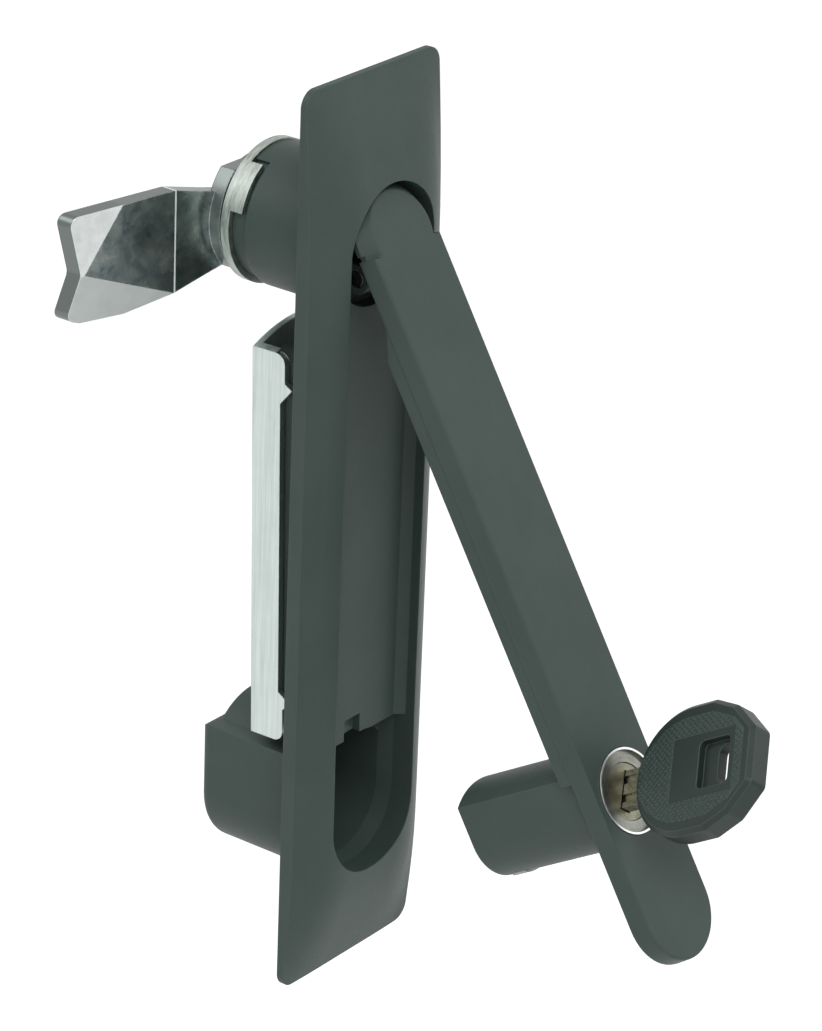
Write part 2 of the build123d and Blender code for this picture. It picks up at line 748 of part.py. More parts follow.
with BuildPart() as handle:
    # round head with a sloped edge, cut back at both sides above the shoulders
    with BuildSketch(grip.offset(handle_face - head_slope_depth)):
        with Locations((0, head_centre)):
            Circle(head_radius)
    extrude(amount=head_slope_depth, taper=head_slope)
    with BuildSketch(grip.offset(handle_face - head_slope_depth)):
        with Locations((0, head_centre)):
            Circle(head_radius)
    extrude(amount=-head_skirt)
    with BuildSketch(grip):
        with Locations((0, head_foot)):
            Rectangle(40, 40, align=(Align.CENTER, Align.MAX))
            Rectangle(2 * body_half_width, 40, align=(Align.CENTER, Align.MAX), mode=Mode.SUBTRACT)
    extrude(amount=handle_face + 1, mode=Mode.SUBTRACT)
    with BuildSketch(grip.offset(plate_back)):
        add(handle_outline())
    extrude(amount=plate_depth, taper=draft)
    with BuildSketch(grip.offset(plate_back)):
        add(handle_outline())
    extrude(amount=-lip_depth)
    fillet(handle.faces().sort_by(Axis(grip.origin, grip.z_dir))[-1].edges(), face_round)
    with BuildSketch(grip_flank.offset(-body_half_width)):
        with BuildLine():
            Polyline(
                (body_start, -lip_back - 0.2),
                (body_start, -lip_back),
                (body_full, -body_rear),
                (body_end, -body_rear),
                (body_end, -lip_back - 0.2),
                close=True,
            )
        make_face()
    extrude(amount=2 * body_half_width)
    with BuildSketch(grip.offset(lip_back + 0.5)):
        add(boss_outline(0))
    extrude(amount=-(lip_back + 0.5 + boss_end))
    # hollows on the underside
    with BuildSketch(grip.offset(handle_face - handle_wall)):
        with Locations((0, -channel_start)):
            Rectangle(
                2 * channel_half_width, channel_end - channel_start, align=(Align.CENTER, Align.MAX)
            )
    extrude(amount=-20, mode=Mode.SUBTRACT)
    with BuildSketch(grip.offset(handle_face - head_plate)):
        with Locations((0, cavity_top)):
            Rectangle(
                2 * cavity_half_width, cavity_top + cavity_end, align=(Align.CENTER, Align.MAX)
            )
    extrude(amount=-20, mode=Mode.SUBTRACT)
    with BuildSketch(grip.offset(handle_face - head_edge)):
        Rectangle(
            2 * cavity_half_width, head_centre + head_radius + 2, align=(Align.CENTER, Align.MIN)
        )
    extrude(amount=-20, mode=Mode.SUBTRACT)
    # knuckle with its pin bore, and the pad that the spring's leg presses
    with BuildSketch(grip_flank.offset(knuckle_left)):
        Circle(knuckle_radius)
        with Locations((0, head_plate / 2 - handle_face)):
            Rectangle(
                2 * knuckle_radius, handle_face - head_plate / 2, align=(Align.CENTER, Align.MIN)
            )
    extrude(amount=knuckle_right - knuckle_left)
    with BuildSketch(grip_flank.offset(spring_start - spring_wire - 0.3)):
        with Locations((spring_leg - spring_pad / 2, head_plate / 2 - handle_face)):
            Rectangle(
                spring_pad,
                handle_face - head_plate / 2 - spring_radius - spring_wire,
                align=(Align.CENTER, Align.MIN),
            )
    extrude(amount=2 * spring_wire + 0.6)
    with BuildSketch(grip_flank.offset(knuckle_left - 1)):
        Circle(pin_radius + pin_play)
    extrude(amount=knuckle_right - knuckle_left + 2, mode=Mode.SUBTRACT)
    # bore for the lock barrel, chamber for the latch, window for its bolt
    with BuildSketch(lock.offset(handle_face + 1)):
        Circle(barrel_radius + barrel_play)
    extrude(amount=-(handle_face + 1 + chamber_front), mode=Mode.SUBTRACT)
    with BuildSketch(lock.offset(rim_back)):
        Circle(rim_radius + barrel_play)
    extrude(amount=rim_thickness + 1, mode=Mode.SUBTRACT)
    with BuildSketch(grip.offset(-chamber_front)):
        with Locations((0, -boss_round)):
            Circle(chamber_half_width)
            Rectangle(
                2 * chamber_half_width,
                boss_round - chamber_top,
                align=(Align.CENTER, Align.MIN),
            )
    extrude(amount=-(boss_end + 1 - chamber_front), mode=Mode.SUBTRACT)
    with BuildSketch(grip.offset(cover_thickness - boss_end)):
        with Locations((0, -boss_round)):
            Circle(chamber_half_width + cover_ledge)
            Rectangle(
                2 * (chamber_half_width + cover_ledge),
                boss_round - chamber_top + cover_ledge / 2,
                align=(Align.CENTER, Align.MIN),
            )
    extrude(amount=-(cover_thickness + 1), mode=Mode.SUBTRACT)
    with BuildSketch(grip.offset(window_play - bolt_front)):
        with Locations((0, -boss_round)):
            Rectangle(
                2 * (bolt_tip_half_width + window_play), 20, align=(Align.CENTER, Align.MAX)
            )
    extrude(amount=-(bolt_back - bolt_front + 2 * window_play), mode=Mode.SUBTRACT)
save(handle.part, "handle")

# %% Stop disc with its lip and hub
with BuildPart() as stop_disc:
    with BuildSketch(axle.offset(-shaft_back)):
        Circle(disc_radius)
    extrude(amount=-(disc_back - shaft_back))
    with BuildSketch(axle.offset(-disc_back)):
        Circle(disc_hub_radius)
    extrude(amount=-(cam_front - disc_back))
    with BuildSketch(axle.offset(-tab_front)):
        add(wedge(tab_start, tab_end))
        Circle(disc_radius, mode=Mode.INTERSECT)
        Circle(tab_inner_radius, mode=Mode.SUBTRACT)
    extrude(amount=-(shaft_back - tab_front))
    with BuildSketch(axle):
        RectangleRounded(square + 2 * square_play, square + 2 * square_play, 0.6)
    extrude(amount=-40, mode=Mode.SUBTRACT)
save(stop_disc.part, "stop_disc")


# %% Cam: a bent strip whose two tips are folded back
def flat_y(x):
    """Front of the cam's main flat at x, in line with its last bend."""
    (x_in, y_in), (x_out, y_out) = cam_path[-2:]
    return cam_front + y_in + (y_out - y_in) * (x - x_in) / (x_out - x_in)


def on_flat(spot, drop):
    """Point of the main flat, or that far behind it, from x and height over the axis."""
    return (spot[0], flat_y(spot[0]) + drop, spindle_z + spot[1])


with BuildPart() as cam_slab:
    with BuildSketch(Plane.XY.offset(spindle_z - 30)):
        with BuildLine():
            Polyline(
                *[(x, cam_front + y) for x, y in cam_path],
                (cam_path[-1][0], 60),
                (cam_path[0][0], 60),
                close=True,
            )
        make_face()
    extrude(amount=60)

with BuildPart() as cam_blank:
    with BuildSketch(axle):
        with BuildLine():
            Polyline(*cam_outline, close=True)
        make_face()
        tips = [v for v in vertices() if v.X < -36]
        fillet(tips, cam_tip_radius)
    extrude(amount=-60)

with BuildPart() as cam_hub:
    with BuildSketch(axle.offset(-cam_front)):
        Circle(cam_pad_radius)
        with Locations((0, cam_pad_bottom)):
            Rectangle(
                40, cam_pad_top - cam_pad_bottom, align=(Align.MAX, Align.MIN), mode=Mode.INTERSECT
            )
        Circle(cam_hub_radius)
        RectangleRounded(
            square + 2 * square_play, square + 2 * square_play, 0.6, mode=Mode.SUBTRACT
        )
    extrude(amount=-cam_thickness)

meet = on_flat(cam_fold_meet, 0)
upper_fold = behind(
    meet, on_flat(cam_fold_upper, 0), on_flat(cam_upper_tip, cam_fold_drop)
)
lower_fold = behind(
    meet, on_flat(cam_fold_lower, 0), on_flat(cam_lower_tip, cam_fold_drop)
)
behind_front = cam_slab.part & upper_fold & lower_fold
strip = behind_front - behind_front.moved(Location((0, cam_thickness, 0)))
cam = Part() + ((strip & cam_blank.part).solid() + cam_hub.part).solid()
save(cam, "cam")

# %% Washer and screw that hold the cam
cam_back = cam_front + cam_thickness
with BuildPart() as cam_washer:
    with BuildSketch(axle.offset(-cam_back)):
        Circle(washer_radius)
        Circle(cam_screw_radius + square_play + 0.2, mode=Mode.SUBTRACT)
    extrude(amount=-washer_thickness)
save(cam_washer.part, "cam_washer")

with BuildPart() as cam_screw:
    with BuildSketch(axle.offset(-(cam_back + washer_thickness))):
        RegularPolygon(cam_screw_across / 2, 6, major_radius=False)
    extrude(amount=-cam_screw_head)
    with BuildSketch(axle.offset(-(cam_back + washer_thickness))):
        Circle(cam_screw_radius)
    extrude(amount=cam_screw_length)
    chamfer(cam_screw.faces().sort_by(Axis.Y)[-1].edges(), 0.5)
save(cam_screw.part, "cam_screw")

# %% Lock cylinder: housing, plug, wafers and the ring that keeps the plug in
wafer_places = [wafer_first - k * wafer_pitch for k in range(wafer_count)]

with BuildPart() as cylinder_housing:
    with BuildSketch(lock.offset(-barrel_end)):
        Circle(barrel_radius)
    extrude(amount=barrel_end + rim_back)
    with BuildSketch(lock.offset(rim_back)):
        Circle(rim_radius)
    extrude(amount=rim_thickness)
    with BuildSketch(lock.offset(handle_face + rim_proud)):
        Circle(rim_radius - rim_lip)
    extrude(amount=-rim_recess, mode=Mode.SUBTRACT)
    with BuildSketch(lock.offset(-barrel_end - 1)):
        Circle(plug_radius + plug_play)
    extrude(amount=40, mode=Mode.SUBTRACT)
    with BuildSketch(lock.offset(wafer_places[0] + 1)):
        Rectangle(2 * wafer_half_width + 0.4, 2 * barrel_radius - 1.4)
    extrude(amount=-(wafer_count * wafer_pitch), mode=Mode.SUBTRACT)
save(cylinder_housing.part, "cylinder_housing")

with BuildPart() as cylinder_plug:
    with BuildSketch(lock.offset(plug_front)):
        Circle(plug_radius)
    extrude(amount=-(plug_front + barrel_end))
    with BuildSketch(lock.offset(-barrel_end)):
        Circle(neck_radius)
    extrude(amount=-neck_length)
    with BuildSketch(lock.offset(-(barrel_end + neck_length))):
        Circle(collar_radius)
    extrude(amount=-(lock_cam_front - barrel_end - neck_length))
    with BuildSketch(key_plane.offset(-lock_cam_front)):
        Rectangle(tail_square, tail_square)
    extrude(amount=-(tail_end - lock_cam_front))
    with BuildSketch(key_plane.offset(plug_front + 1)):
        Rectangle(2 * keyway_half_length, 2 * keyway_half_width)
    extrude(amount=-(plug_front + 1 + keyway_end), mode=Mode.SUBTRACT)
    for place in wafer_places:
        with BuildSketch(key_plane.offset(place + wafer_thickness / 2 + wafer_play)):
            Rectangle(2 * plug_radius + 1, 2 * (wafer_half_width + wafer_play))
        extrude(amount=-(wafer_thickness + 2 * wafer_play), mode=Mode.SUBTRACT)
    with BuildSketch(lock.offset(-tail_end)):
        Circle(lock_screw_radius + thread_play)
    extrude(amount=tail_end - keyway_end - 0.6, mode=Mode.SUBTRACT)
save(cylinder_plug.part, "cylinder_plug")

with BuildPart() as wafers:
    for place in wafer_places:
        with BuildSketch(key_plane.offset(place + wafer_thickness / 2)):
            Rectangle(2 * wafer_half_height, 2 * wafer_half_width)
            Rectangle(
                2 * keyway_half_length + 0.3, 2 * keyway_half_width + 0.1, mode=Mode.SUBTRACT
            )
        extrude(amount=-wafer_thickness)
save(wafers.part, "wafers")

with BuildPart() as cylinder_ring:
    with BuildSketch(lock.offset(-(barrel_end + ring_clip_gap))):
        Circle(ring_clip_radius)
        Circle(neck_radius + plug_play, mode=Mode.SUBTRACT)
        Rectangle(1.7 * neck_radius, 10, align=(Align.CENTER, Align.MIN), mode=Mode.SUBTRACT)
    extrude(amount=-ring_clip_thickness)
save(cylinder_ring.part, "cylinder_ring")

# %% Lock cam with its off-centre pin, and the screw that holds it
throw_angle = radians(180 + lock_middle)
throw_spot = (throw * cos(throw_angle), throw * sin(throw_angle))

with BuildPart() as lock_cam:
    with BuildSketch(lock.offset(-lock_cam_front)):
        Circle(lock_cam_radius)
    extrude(amount=-(lock_cam_back - lock_cam_front))
    with BuildSketch(lock.offset(-lock_cam_back)):
        with Locations(throw_spot):
            Circle(throw_pin_radius)
    extrude(amount=-(bolt_back - lock_cam_back - 0.2))
    with BuildSketch(key_plane.offset(-lock_cam_front)):
        Rectangle(tail_square + 2 * square_play, tail_square + 2 * square_play)
    extrude(amount=-(tail_end - lock_cam_front), mode=Mode.SUBTRACT)
    with BuildSketch(lock.offset(-lock_cam_front)):
        Circle(lock_screw_radius + square_play)
    extrude(amount=-10, mode=Mode.SUBTRACT)
    with BuildSketch(lock.offset(-lock_cam_back)):
        Circle(lock_screw_head_radius + 0.1)
    extrude(amount=lock_screw_head + 0.1, mode=Mode.SUBTRACT)
save(lock_cam.part, "lock_cam")

with BuildPart() as lock_cam_screw:
    with BuildSketch(lock.offset(0.1 - lock_cam_back)):
        Circle(lock_screw_head_radius)
        Rectangle(5, 0.6, mode=Mode.SUBTRACT)
    extrude(amount=lock_screw_head / 2)
    with BuildSketch(lock.offset(0.1 - lock_cam_back + lock_screw_head / 2)):
        Circle(lock_screw_head_radius)
    extrude(amount=lock_screw_head / 2)
    with BuildSketch(lock.offset(0.1 - lock_cam_back + lock_screw_head)):
        Circle(lock_screw_radius)
    extrude(amount=lock_screw_length - 0.2)
save(lock_cam_screw.part, "lock_cam_screw")

# %% Latch bolt driven by the lock cam's pin, and the cover behind it
with BuildPart() as latch_bolt:
    with BuildSketch(grip.offset(-bolt_front)):
        with Locations((0, -bolt_top)):
            Rectangle(
                2 * bolt_half_width, bolt_shoulder - bolt_top, align=(Align.CENTER, Align.MAX)
            )
        lower = [v for v in vertices() if v.Y < -bolt_shoulder + 0.1]
        chamfer(lower, 1.0)
        with Locations((0, -bolt_shoulder + 1)):
            Rectangle(2 * bolt_tip_half_width, 10, align=(Align.CENTER, Align.MAX))
        with Locations((0, -boss_round)):
            Circle(bolt_tip_radius, mode=Mode.INTERSECT)
        with Locations((-throw * cos(radians(45)) + throw_pin_radius + bolt_slot_play,
                        throw_spot[1] - lock_distance)):
            Rectangle(
                10,
                2 * (throw_pin_radius + bolt_slot_play),
                align=(Align.MAX, Align.CENTER),
                mode=Mode.SUBTRACT,
            )
    extrude(amount=-(bolt_back - bolt_front))
save(latch_bolt.part, "latch_bolt")

with BuildPart() as latch_cover:
    with BuildSketch(grip.offset(cover_thickness - boss_end)):
        with Locations((0, -boss_round)):
            Circle(chamber_half_width + cover_ledge - cover_play)
            Rectangle(
                2 * (chamber_half_width + cover_ledge - cover_play),
                boss_round - chamber_top + cover_ledge / 2 - cover_play,
                align=(Align.CENTER, Align.MIN),
            )
    extrude(amount=-cover_thickness)
save(latch_cover.part, "latch_cover")

# %% Key: blade with its cuts, and the moulded bow with its ring slot
bow_bottom = handle_face + bow_start

with BuildPart() as key_blade:
    with BuildSketch(key_side.offset(-blade_half_thickness)):
        with BuildLine():
            Polyline(
                (-blade_half_width, bow_bottom),
                (-blade_half_width, 1.6 - blade_tip),
                (-blade_half_width + 2.2, -blade_tip),
                (blade_half_width - 2.2, -blade_tip),
                (blade_half_width, 1.6 - blade_tip),
                (blade_half_width, bow_bottom),
                (blade_half_width - 0.9, bow_bottom),
                (blade_half_width - 0.9, bow_bottom + blade_tang),
                (0.9 - blade_half_width, bow_bottom + blade_tang),
                (0.9 - blade_half_width, bow_bottom),
                close=True,
            )
        make_face()
        for place, cut in zip(wafer_places, key_cuts):
            for side in (-1, 1):
                depth = cut if side > 0 else 1.3 - cut
                with Locations((side * (blade_half_width + 0.6), place)):
                    Rectangle(2 * depth + 1.2, 2 * depth + 1.2, rotation=45, mode=Mode.SUBTRACT)
    extrude(amount=2 * blade_half_thickness)
    for face in (-blade_half_thickness, blade_half_thickness - blade_groove_depth):
        with BuildSketch(key_side.offset(face)):
            with Locations((-blade_groove, -blade_tip), (blade_groove, -blade_tip)):
                Rectangle(
                    blade_groove_width, bow_bottom + blade_tip, align=(Align.CENTER, Align.MIN)
                )
        extrude(amount=blade_groove_depth, mode=Mode.SUBTRACT)
save(key_blade.part, "key_blade")

with BuildPart() as key_bow:
    with BuildSketch(key_side.offset(-bow_half_thickness)):
        with BuildLine():
            ThreePointArc(
                (-bow_half_width, bow_bottom + bow_half_width),
                (0, bow_bottom),
                (bow_half_width, bow_bottom + bow_half_width),
            )
            Polyline(
                (bow_half_width, bow_bottom + bow_half_width),
                (bow_half_width, bow_bottom + bow_shoulder),
                (bow_upper[0], bow_bottom + bow_upper[1]),
                (bow_top_half_width, bow_bottom + bow_length),
                (-bow_top_half_width, bow_bottom + bow_length),
                (-bow_upper[0], bow_bottom + bow_upper[1]),
                (-bow_half_width, bow_bottom + bow_shoulder),
                (-bow_half_width, bow_bottom + bow_half_width),
            )
        make_face()
        fillet([v for v in vertices() if v.Y > bow_bottom + bow_shoulder - 0.1], bow_corner_radius)
    extrude(amount=2 * bow_half_thickness)
    outer = [e for e in edges() if abs(key_side.to_local_coords(e @ 0.5).Z) > bow_half_thickness - 0.01]
    chamfer(outer, bow_bevel)
    for face in (-bow_half_thickness, bow_half_thickness - ring_recess_depth):
        with BuildSketch(key_side.offset(face)):
            with Locations((0, bow_bottom + ring_recess_start + ring_recess_length / 2)):
                RectangleRounded(2 * ring_recess_half_width, ring_recess_length, 1)
        extrude(amount=ring_recess_depth, mode=Mode.SUBTRACT)
    with BuildSketch(key_side.offset(-bow_half_thickness)):
        with Locations((0, bow_bottom + ring_slot_centre)):
            SlotOverall(ring_slot_length, ring_slot_width)
    extrude(amount=2 * bow_half_thickness, mode=Mode.SUBTRACT)
    with BuildSketch(key_side.offset(-blade_half_thickness - thread_play)):
        with Locations((0, bow_bottom - 1)):
            Rectangle(
                2 * (blade_half_width - 0.9 + thread_play),
                blade_tang + 1.1,
                align=(Align.CENTER, Align.MIN),
            )
    extrude(amount=2 * (blade_half_thickness + thread_play), mode=Mode.SUBTRACT)
save(key_bow.part, "key_bow")
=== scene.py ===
# %% [markdown]
# # A recessed swing handle lock
# The CAD model gives every piece its place and its size, so this script starts by loading it as a
# fixed frame. What is left to do here is the studio, the finishes, and the fine grip pattern on
# the key. Lengths are in metres: X points right, Y back through the door and Z up.

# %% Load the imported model
import json
import math

import bpy
import numpy as np
from mathutils import Euler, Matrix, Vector


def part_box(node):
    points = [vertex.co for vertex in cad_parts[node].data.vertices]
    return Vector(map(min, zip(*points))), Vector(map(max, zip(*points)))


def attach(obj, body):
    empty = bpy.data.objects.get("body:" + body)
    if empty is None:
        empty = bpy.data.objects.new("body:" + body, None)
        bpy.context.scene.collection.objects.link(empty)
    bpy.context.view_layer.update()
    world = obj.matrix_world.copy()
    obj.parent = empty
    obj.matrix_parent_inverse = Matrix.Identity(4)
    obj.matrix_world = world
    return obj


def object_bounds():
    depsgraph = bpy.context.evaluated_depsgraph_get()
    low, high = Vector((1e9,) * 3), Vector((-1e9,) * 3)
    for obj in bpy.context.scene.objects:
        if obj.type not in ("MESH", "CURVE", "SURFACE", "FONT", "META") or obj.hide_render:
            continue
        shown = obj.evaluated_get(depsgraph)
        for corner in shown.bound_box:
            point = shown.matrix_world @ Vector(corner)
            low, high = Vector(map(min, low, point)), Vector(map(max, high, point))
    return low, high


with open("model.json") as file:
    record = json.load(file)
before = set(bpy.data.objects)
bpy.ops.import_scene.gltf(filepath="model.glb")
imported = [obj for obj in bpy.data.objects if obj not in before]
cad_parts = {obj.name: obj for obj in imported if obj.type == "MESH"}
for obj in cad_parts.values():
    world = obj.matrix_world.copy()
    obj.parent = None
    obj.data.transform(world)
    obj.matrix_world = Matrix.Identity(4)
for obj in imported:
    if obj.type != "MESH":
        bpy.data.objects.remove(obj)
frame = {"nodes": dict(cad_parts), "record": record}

MM = 0.001
nodes = frame["nodes"]


def plain_box(box):
    """A box's two corners as plain lists of numbers."""
    return [[float(value) for value in corner] for corner in box]


cad_box = plain_box(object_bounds())
print("nodes:", len(nodes), "CAD box:", cad_box)

# %% [markdown]
# ## The camera
# A long lens from the left, a little above, looks along the door. A long lens keeps upright edges
# nearly parallel, which is how small hardware is usually shown in a catalogue. The camera is set
# by its place and its three turns, which says exactly where it looks.

# %% Set the camera
camera_place = Vector((-0.55689, -0.42395, 0.31876))
camera_turn = Euler([math.radians(a) for a in (65.686, -2.0908, -52.585)], "XYZ")
camera_data = bpy.data.cameras.new("catalogue_camera")
camera_data.sensor_fit = "VERTICAL"
camera_data.sensor_height = 36
camera_data.lens = 154.94
camera_data.clip_start = 0.01
camera = bpy.data.objects.new("catalogue_camera", camera_data)
camera.location = camera_place
camera.rotation_euler = camera_turn
bpy.context.scene.collection.objects.link(camera)
bpy.context.scene.camera = camera
print("camera looks from", tuple(round(v, 3) for v in camera_place))

# %% [markdown]
# ## Floor and background
# The floor lies well below the part, so that its shadow is soft and falls clear of it. The
# background is white because of its own colour: rays that come straight from the camera, and
# those mirrored in metal, see pure white, while the light on the part stays at a plain level.

# %% Build the white world and the pale floor
scene = bpy.context.scene
scene.view_settings.view_transform = "Standard"


def node_maker(tree):
    """A short way to add a node with some of its settings and inputs filled in."""

    def make(kind, inputs=None, **settings):
        node = tree.nodes.new(kind)
        for key, value in settings.items():
            setattr(node, key, value)
        for key, value in (inputs or {}).items():
            node.inputs[key].default_value = value
        return node

    return make


world = bpy.data.worlds.new("studio_world")
scene.world = world
world.use_nodes = True
tree = world.node_tree
tree.nodes.clear()
make = node_maker(tree)
path = make("ShaderNodeLightPath")
seen = make("ShaderNodeMath", operation="MAXIMUM")
seen_all = make("ShaderNodeMath", operation="MAXIMUM")
tree.links.new(path.outputs["Is Camera Ray"], seen.inputs[0])
tree.links.new(path.outputs["Is Glossy Ray"], seen.inputs[1])
tree.links.new(seen.outputs[0], seen_all.inputs[0])
tree.links.new(path.outputs["Is Transmission Ray"], seen_all.inputs[1])
soft_light = make("ShaderNodeBackground", {"Color": (1.0, 1.0, 1.0, 1), "Strength": 0.34})
white_view = make("ShaderNodeBackground", {"Color": (0.98, 0.98, 0.98, 1), "Strength": 1.0})
choose = make("ShaderNodeMixShader")
out = make("ShaderNodeOutputWorld")
tree.links.new(seen_all.outputs[0], choose.inputs["Fac"])
tree.links.new(soft_light.outputs[0], choose.inputs[1])
tree.links.new(white_view.outputs[0], choose.inputs[2])
tree.links.new(choose.outputs[0], out.inputs["Surface"])

floor_drop = 0.16  # the floor lies this far under the part
floor_height = cad_box[0][2] - floor_drop
floor_half = 4.0
floor_mesh = bpy.data.meshes.new("pale_floor")
floor_corners = np.array([(-1, -1), (1, -1), (1, 1), (-1, 1)]) * floor_half
floor_mesh.from_pydata(
    [(x, y, floor_height) for x, y in floor_corners.tolist()], [], [(0, 1, 2, 3)]
)
pale_floor = bpy.data.objects.new("pale_floor", floor_mesh)
scene.collection.objects.link(pale_floor)

floor_paint = bpy.data.materials.new("floor_paint")
floor_paint.use_nodes = True
tree = floor_paint.node_tree
tree.nodes.clear()
make = node_maker(tree)
path = make("ShaderNodeLightPath")
seen = make("ShaderNodeMath", operation="MAXIMUM")
tree.links.new(path.outputs["Is Camera Ray"], seen.inputs[0])
tree.links.new(path.outputs["Is Glossy Ray"], seen.inputs[1])
lift = make("ShaderNodeMath", {1: 0.62}, operation="MULTIPLY")
tree.links.new(seen.outputs[0], lift.inputs[0])
matt = make("ShaderNodeBsdfDiffuse", {"Color": (0.86, 0.86, 0.86, 1)})
glow = make("ShaderNodeEmission", {"Color": (1, 1, 1, 1)})
tree.links.new(lift.outputs[0], glow.inputs["Strength"])
both = make("ShaderNodeAddShader")
out = make("ShaderNodeOutputMaterial")
tree.links.new(matt.outputs[0], both.inputs[0])
tree.links.new(glow.outputs[0], both.inputs[1])
tree.links.new(both.outputs[0], out.inputs["Surface"])
floor_mesh.materials.append(floor_paint)
print("floor at", round(floor_height, 3))

# %% [markdown]
# ## Studio lights
# Three large area lamps do what soft boxes do. The key light stands high at the upper left in
# front, a weaker fill from the right keeps the recess readable, and one from behind lifts the
# rear edges. Big lamps near a small part give soft edges to every shade. A dark card stands where
# a flag would stand in a real studio: bright plating has nothing to show but its surroundings,
# so it needs one dark thing to mirror.

# %% Add the lamps and the dark card


def soft_box(name, place, target, size, watts):
    """A square area lamp at place, aimed at target."""
    data = bpy.data.lights.new(name, "AREA")
    data.shape = "SQUARE"
    data.size = size
    data.energy = watts
    lamp = bpy.data.objects.new(name, data)
    lamp.location = place
    aim = Vector(target) - Vector(place)
    lamp.rotation_euler = aim.to_track_quat("-Z", "Y").to_euler()
    lamp.visible_camera = False
    scene.collection.objects.link(lamp)


middle = (0, -0.02, 0)
lamps = {  # name: place, side in metres, watts
    "main_light": ((-0.75, -1.0, 1.25), 0.9, 10.5),
    "fill_light": ((0.9, -1.2, 0.5), 1.0, 3.0),
    "back_light": ((-0.7, 0.8, 1.0), 0.8, 4.5),
}
for lamp_name, (lamp_place, lamp_size, lamp_watts) in lamps.items():
    soft_box(lamp_name, lamp_place, middle, lamp_size, lamp_watts)


def studio_card(name, centre, facing, width, height, shade):
    """A flat card that only mirrors see: it gives bright metal something dark to show."""
    normal = (Vector(facing) - Vector(centre)).normalized()
    side = normal.cross(Vector((0, 0, 1))).normalized()
    rise = side.cross(normal)
    corners = [
        Vector(centre) + side * (a * width / 2) + rise * (b * height / 2)
        for a, b in ((-1, -1), (1, -1), (1, 1), (-1, 1))
    ]
    mesh = bpy.data.meshes.new(name)
    mesh.from_pydata([tuple(c) for c in corners], [], [(0, 1, 2, 3)])
    card = bpy.data.objects.new(name, mesh)
    scene.collection.objects.link(card)
    material = bpy.data.materials.new(name)
    material.use_nodes = True
    shader = material.node_tree.nodes["Principled BSDF"]
    shader.inputs["Base Color"].default_value = (shade, shade * 1.08, shade * 1.06, 1)
    shader.inputs["Roughness"].default_value = 1.0
    mesh.materials.append(material)
    card.visible_camera = False
    card.visible_diffuse = False
    card.visible_shadow = False


cam_centre = (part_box("cam")[0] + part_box("cam")[1]) / 2
card_way = Vector((0.465, -0.815, -0.345)).normalized()  # where the cam's flat mirrors the view
card_distance = 0.6
studio_card(
    "dark_card", cam_centre + card_way * card_distance, cam_centre,
    width=0.30, height=0.15, shade=0.085,
)
print("lamps and card in place")

# %% [markdown]
# ## Finishes
# Each finish is a small node network on Object coordinates, which stay with the piece when it
# moves. A helper builds what they share: a Principled shader, the coordinates, and a bump that
# starts from slightly rounded edges, because no moulded or stamped edge is perfectly sharp.

# %% Shared pieces of every finish


